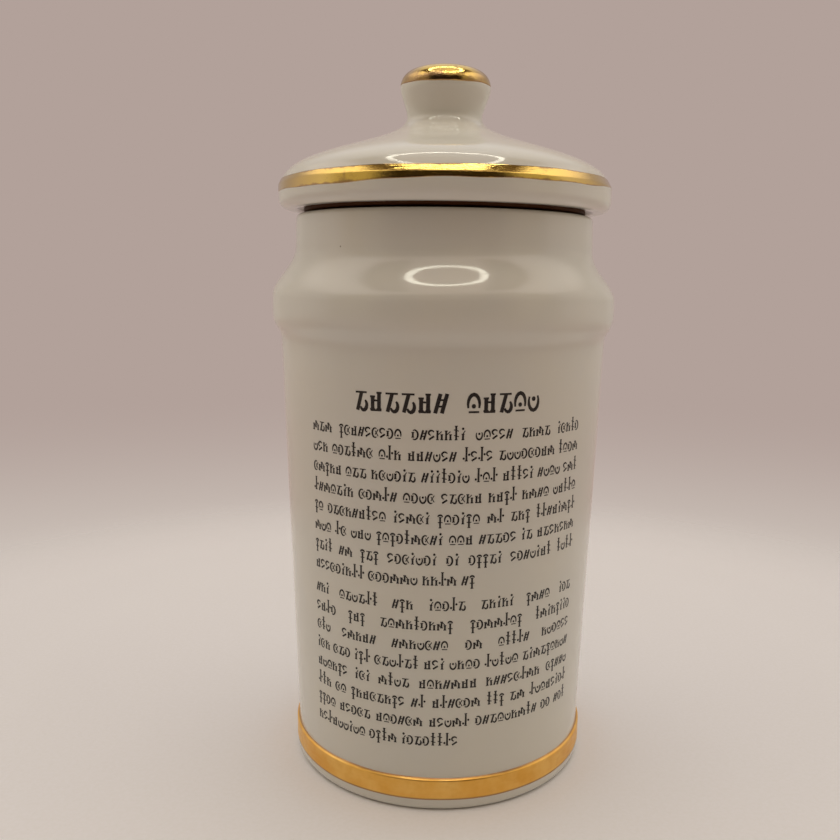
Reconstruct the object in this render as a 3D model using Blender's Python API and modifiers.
"""Porcelain spice jar with a lift-off lid.

Every piece is turned: a profile of (radius, height) points in millimetres, swept round Z.
The origin is the middle of the foot, on the surface the jar stands on. The lid, its sealing
ring and their gilding are drawn from the lid's own datum, the underside of its lip.
"""

import bpy

MM = 0.001
FACETS = 48             # round every turned piece
CLEARANCE = 0.3         # kept between neighbouring pieces
GILT = 0.35             # thickness of the gilding rings

# Jar, outside
FOOT_RADIUS = 21.9      # outer edge of the ring it stands on
BEAD_RADIUS = 22.95     # gilded bead round the foot
BEAD_LOW, BEAD_HIGH = 1.55, 5.25
BODY_BASE_RADIUS = 22.2
BODY_BASE_Z = 5.6
BODY_TOP_RADIUS = 24.3
BODY_TOP_Z = 64.2
RIDGE_RADIUS = 25.6     # widest, the rounded ridge under the neck
RIDGE_LOW, RIDGE_HIGH = 68.3, 71.2
NECK_RADIUS = 22.1
NECK_BASE_Z = 79.0
RIM_Z = 82.6

# Jar, inside and underneath
FOOT_INNER_RADIUS = 18.0
UNDERSIDE_Z = 1.8
FLOOR_Z = 5.2
FLOOR_FILLET = 4.0
INNER_BASE_RADIUS = 19.2
INNER_TOP_RADIUS = 21.4
INNER_TOP_Z = 63.0
RIDGE_HOLLOW_RADIUS = 22.6
RIDGE_HOLLOW_Z = 69.7
MOUTH_RADIUS = 19.3
MOUTH_BASE_Z = 76.5
RIM_EDGE = 0.6          # rounding of the rim's edges

# Lid, heights from the underside of its lip
LID_Z = 83.3            # that underside, above the foot
LID_RADIUS = 24.5
LIP_EDGE = 1.5          # rounding under the lip
LIP_INNER_RADIUS = 21.8
BAND_LOW, BAND_BEND, BAND_HIGH = 2.75, 3.2, 4.4
BAND_TOP_RADIUS = 23.85
WAIST_RADIUS, WAIST_Z = 5.5, 12.9       # where the dome meets the knob's neck
CAP_EDGE_RADIUS, CAP_EDGE_Z = 6.6, 17.45
CAP_BULGE_RADIUS, CAP_BULGE_Z = 6.65, 17.8
KNOB_TOP_Z = 20.75

# Lid, underneath
SEAT_RECESS = 0.6       # the sealing ring's flange sits up in here
SEAT_RADIUS = 21.3
PLUG_RADIUS = 16.6
PLUG_LOW = -8.6
PLUG_LIP_RADIUS = 17.5  # keeps the sealing ring on
PLUG_LIP_Z = -6.9
PLUG_BORE_RADIUS = 14.2
CEILING_Z = 8.4

# Sealing ring, heights from the underside of the lid's lip
FLANGE_RADIUS = 20.9
SLEEVE_WALL = 0.8
FIN_RADIUS = 18.95
FIN_ROOT, FIN_TIP = 0.8, 0.5            # thickness of a fin
FIN_HEIGHTS = (-1.9, -3.6, -5.3)

PORCELAIN = ("porcelain", (0.80, 0.76, 0.69), 0.12, 0.0)
BRIGHT_GOLD = ("bright_gold", (0.83, 0.58, 0.22), 0.12, 1.0)
SATIN_GOLD = ("satin_gold", (0.72, 0.46, 0.13), 0.38, 1.0)
SEAL_RUBBER = ("seal_rubber", (0.07, 0.05, 0.04), 0.6, 0.0)


def clear_scene():
    """Remove the objects of the file the script is run in."""
    for item in list(bpy.data.objects):
        bpy.data.objects.remove(item, do_unlink=True)


def new_collection(name):
    """A collection linked to the scene."""
    collection = bpy.data.collections.new(name)
    bpy.context.scene.collection.children.link(collection)
    return collection


def material(finish):
    """A Principled material from (name, colour, roughness, metallic), made once."""
    name, colour, roughness, metallic = finish
    made = bpy.data.materials.get(name)
    if made is None:
        made = bpy.data.materials.new(name)
        made.use_nodes = True
        shader = made.node_tree.nodes["Principled BSDF"]
        shader.inputs["Base Color"].default_value = (*colour, 1.0)
        shader.inputs["Roughness"].default_value = roughness
        shader.inputs["Metallic"].default_value = metallic
    return made


def curve(start, lead, trail, end, count):
    """Points along a cubic curve from start to end, pulled by lead and trail."""
    points = []
    for step in range(count + 1):
        t = step / count
        s = 1.0 - t
        weights = (s * s * s, 3 * s * s * t, 3 * s * t * t, t * t * t)
        places = (start, lead, trail, end)
        radius = sum(w * place[0] for w, place in zip(weights, places))
        height = sum(w * place[1] for w, place in zip(weights, places))
        points.append((radius, height))
    return points


def corner(start, knee, end, count=3):
    """Points round a corner, from start to end, whose sharp form would be knee."""
    pull = 0.55
    lead = tuple(a + (k - a) * pull for a, k in zip(start, knee))
    trail = tuple(b + (k - b) * pull for b, k in zip(end, knee))
    return curve(start, lead, trail, end, count)


def turned(name, profile, finish, collection, height=0.0, ring=False):
    """Sweep a profile round Z. A ring's profile closes on itself, another's ends on the axis."""
    points = []
    for radius, level in profile:
        point = (radius * MM, 0.0, level * MM)
        if not points or max(abs(a - b) for a, b in zip(point, points[-1])) > 1e-6:
            points.append(point)
    edges = [(i, i + 1) for i in range(len(points) - 1)]
    if ring:
        edges.append((len(points) - 1, 0))
    mesh = bpy.data.meshes.new(name)
    mesh.from_pydata(points, edges, [])
    mesh.materials.append(material(finish))
    piece = bpy.data.objects.new(name, mesh)
    piece.location = (0.0, 0.0, height * MM)
    collection.objects.link(piece)
    screw = piece.modifiers.new("Turn", 'SCREW')
    screw.axis = 'Z'
    screw.steps = FACETS
    screw.render_steps = FACETS
    screw.use_merge_vertices = True
    screw.merge_threshold = 0.00001
    screw.use_smooth_shade = True
    return piece


def jar_inside():
    """From the middle of the floor up to the rim."""
    wall_foot = (INNER_BASE_RADIUS, FLOOR_Z + FLOOR_FILLET)
    wall_top = (INNER_TOP_RADIUS, INNER_TOP_Z)
    hollow = (RIDGE_HOLLOW_RADIUS, RIDGE_HOLLOW_Z)
    mouth = (MOUTH_RADIUS, MOUTH_BASE_Z)
    points = [(0.0, FLOOR_Z)]
    points += corner((INNER_BASE_RADIUS - FLOOR_FILLET, FLOOR_Z), (INNER_BASE_RADIUS, FLOOR_Z),
                     wall_foot, 4)
    points += curve(wall_top, (INNER_TOP_RADIUS + 0.2, INNER_TOP_Z + 3.0),
                    (RIDGE_HOLLOW_RADIUS, RIDGE_HOLLOW_Z - 3.0), hollow, 3)
    points += curve(hollow, (RIDGE_HOLLOW_RADIUS, RIDGE_HOLLOW_Z + 3.0),
                    (MOUTH_RADIUS, MOUTH_BASE_Z - 2.5), mouth, 4)
    return points


def jar_rim():
    """Over the rim, from the mouth to the neck."""
    inner = corner((MOUTH_RADIUS, RIM_Z - RIM_EDGE), (MOUTH_RADIUS, RIM_Z),
                   (MOUTH_RADIUS + RIM_EDGE, RIM_Z))
    outer = corner((NECK_RADIUS - RIM_EDGE, RIM_Z), (NECK_RADIUS, RIM_Z),
                   (NECK_RADIUS, RIM_Z - RIM_EDGE))
    return inner + outer


def jar_outside():
    """Down the neck, the ridge and the tapered body."""
    neck = (NECK_RADIUS, NECK_BASE_Z)
    ridge_high = (RIDGE_RADIUS, RIDGE_HIGH)
    ridge_low = (RIDGE_RADIUS, RIDGE_LOW)
    body_top = (BODY_TOP_RADIUS, BODY_TOP_Z)
    points = curve(neck, (NECK_RADIUS, NECK_BASE_Z - 4.0),
                   (RIDGE_RADIUS, RIDGE_HIGH + 2.0), ridge_high, 7)
    points += curve(ridge_low, (RIDGE_RADIUS, RIDGE_LOW - 2.2),
                    (BODY_TOP_RADIUS + 0.1, BODY_TOP_Z + 2.0), body_top, 4)
    points.append((BODY_BASE_RADIUS, BODY_BASE_Z))
    return points


def jar_foot():
    """The bead, with the groove its gilding lies in, the foot ring and the underside."""
    groove = BEAD_RADIUS - GILT - CLEARANCE
    points = [(BEAD_RADIUS - 0.15, BEAD_HIGH), (BEAD_RADIUS, BEAD_HIGH - 0.15)]
    points += [(groove, BEAD_HIGH - 0.15), (groove, BEAD_LOW + 0.15)]
    points += [(BEAD_RADIUS, BEAD_LOW + 0.15)]
    points += corner((BEAD_RADIUS, BEAD_LOW), (BEAD_RADIUS - 0.3, 0.0), (FOOT_RADIUS, 0.0))
    points += [(FOOT_INNER_RADIUS, 0.0), (FOOT_INNER_RADIUS - 1.0, UNDERSIDE_Z)]
    points += [(0.0, UNDERSIDE_Z)]
    return points


def make_jar(collection):
    """The porcelain jar, hollow and open at the mouth."""
    profile = jar_inside() + jar_rim() + jar_outside() + jar_foot()
    return turned("jar_body", profile, PORCELAIN, collection)


def make_foot_band(collection):
    """Gilding round the bead at the foot."""
    high = BEAD_HIGH - 0.15 - CLEARANCE
    low = BEAD_LOW + 0.15 + CLEARANCE
    inner = BEAD_RADIUS - GILT
    profile = [(inner, high), (BEAD_RADIUS, high), (BEAD_RADIUS, low), (inner, low)]
    return turned("foot_gilt_band", profile, SATIN_GOLD, collection, ring=True)


def knob_crown(inset, count):
    """Half of the knob's rounded top, from the axis outwards, inset from its surface."""
    top = KNOB_TOP_Z - inset
    bulge = (CAP_BULGE_RADIUS - inset, CAP_BULGE_Z)
    points = curve((0.0, top), (4.6 - inset / 2, top), (bulge[0], CAP_BULGE_Z + 2.3), bulge, count)
    points.append((CAP_EDGE_RADIUS - inset, CAP_EDGE_Z))
    return points


def lid_outside():
    """From the top of the knob down to the band's groove."""
    waist = (WAIST_RADIUS, WAIST_Z)
    core = knob_crown(GILT + CLEARANCE, 5)
    ledge = CAP_EDGE_Z - CLEARANCE
    points = core[:-1]
    points += [(CAP_EDGE_RADIUS - GILT - CLEARANCE, ledge), (CAP_EDGE_RADIUS - 0.05, ledge)]
    points += curve((CAP_EDGE_RADIUS - 0.1, ledge - 0.2), (CAP_EDGE_RADIUS - 0.1, ledge - 0.9),
                    (WAIST_RADIUS + 0.1, WAIST_Z + 1.6), waist, 4)
    points += curve(waist, (WAIST_RADIUS + 5.5, WAIST_Z - 3.75),
                    (BAND_TOP_RADIUS - 1.4, BAND_HIGH + 3.45), (BAND_TOP_RADIUS, BAND_HIGH), 12)
    return points


def lid_lip():
    """The groove for the gilding, the lip's side and its rounded underside."""
    depth = GILT + CLEARANCE
    points = [(BAND_TOP_RADIUS - depth, BAND_HIGH), (LID_RADIUS - depth, BAND_LOW)]
    points += [(LID_RADIUS, BAND_LOW)]
    points += corner((LID_RADIUS, LIP_EDGE), (LID_RADIUS, 0.0), (LID_RADIUS - LIP_EDGE, 0.0))
    points += [(LIP_INNER_RADIUS, 0.0), (SEAT_RADIUS, SEAT_RECESS)]
    return points


def lid_plug():
    """The hollow plug that goes down into the neck."""
    points = [(PLUG_RADIUS, SEAT_RECESS), (PLUG_RADIUS, PLUG_LIP_Z)]
    points += [(PLUG_LIP_RADIUS, PLUG_LIP_Z - 0.2), (PLUG_LIP_RADIUS, PLUG_LOW + 0.6)]
    points += [(PLUG_LIP_RADIUS - 0.6, PLUG_LOW), (PLUG_BORE_RADIUS + 0.5, PLUG_LOW)]
    points += [(PLUG_BORE_RADIUS, PLUG_LOW + 0.5)]
    points += curve((PLUG_BORE_RADIUS, 1.5), (PLUG_BORE_RADIUS, 6.0), (8.0, CEILING_Z),
                    (0.0, CEILING_Z), 5)
    return points


def make_lid(collection):
    """The porcelain lid, with its knob."""
    profile = lid_outside() + lid_lip() + lid_plug()
    return turned("lid", profile, PORCELAIN, collection, LID_Z)


def make_lid_band(collection):
    """Gilding round the lid's shoulder, bent where the shoulder meets the lip's side."""
    high = BAND_HIGH - CLEARANCE
    low = BAND_LOW + CLEARANCE
    slope = (LID_RADIUS - BAND_TOP_RADIUS) / (BAND_HIGH - BAND_BEND)
    top_radius = BAND_TOP_RADIUS + slope * CLEARANCE
    profile = [(top_radius - GILT, high), (top_radius, high), (LID_RADIUS, BAND_BEND)]
    profile += [(LID_RADIUS, low), (LID_RADIUS - GILT, low)]
    return turned("lid_gilt_band", profile, BRIGHT_GOLD, collection, LID_Z, ring=True)


def make_knob_cap(collection):
    """Gilding over the top of the knob: a thin cup, open below."""
    outside = knob_crown(0.0, 6)
    inside = knob_crown(GILT, 6)
    return turned("knob_gilt_cap", outside + inside[::-1], BRIGHT_GOLD, collection, LID_Z)


def make_seal(collection):
    """The ribbed rubber ring stretched over the plug, with a flange over the jar's rim."""
    inner = PLUG_RADIUS + CLEARANCE
    sleeve = inner + SLEEVE_WALL
    flange_low = RIM_Z + CLEARANCE - LID_Z
    flange_high = SEAT_RECESS - CLEARANCE
    sleeve_low = PLUG_LIP_Z + CLEARANCE
    profile = [(inner, flange_high), (FLANGE_RADIUS, flange_high), (FLANGE_RADIUS, flange_low)]
    profile += [(sleeve, flange_low)]
    for fin in FIN_HEIGHTS:
        profile += [(sleeve, fin + FIN_ROOT / 2), (FIN_RADIUS, fin + FIN_TIP / 2)]
        profile += [(FIN_RADIUS, fin - FIN_TIP / 2), (sleeve, fin - FIN_ROOT / 2)]
    profile += [(sleeve, sleeve_low), (inner, sleeve_low)]
    return turned("lid_seal", profile, SEAL_RUBBER, collection, LID_Z, ring=True)


def main():
    """Build the jar and its lid, closed."""
    clear_scene()
    collection = new_collection("spice_jar")
    make_jar(collection)
    make_foot_band(collection)
    lid = make_lid(collection)
    for piece in (make_lid_band(collection), make_knob_cap(collection)):
        piece.parent = lid
        piece.matrix_parent_inverse = lid.matrix_basis.inverted()
    make_seal(collection)


main()
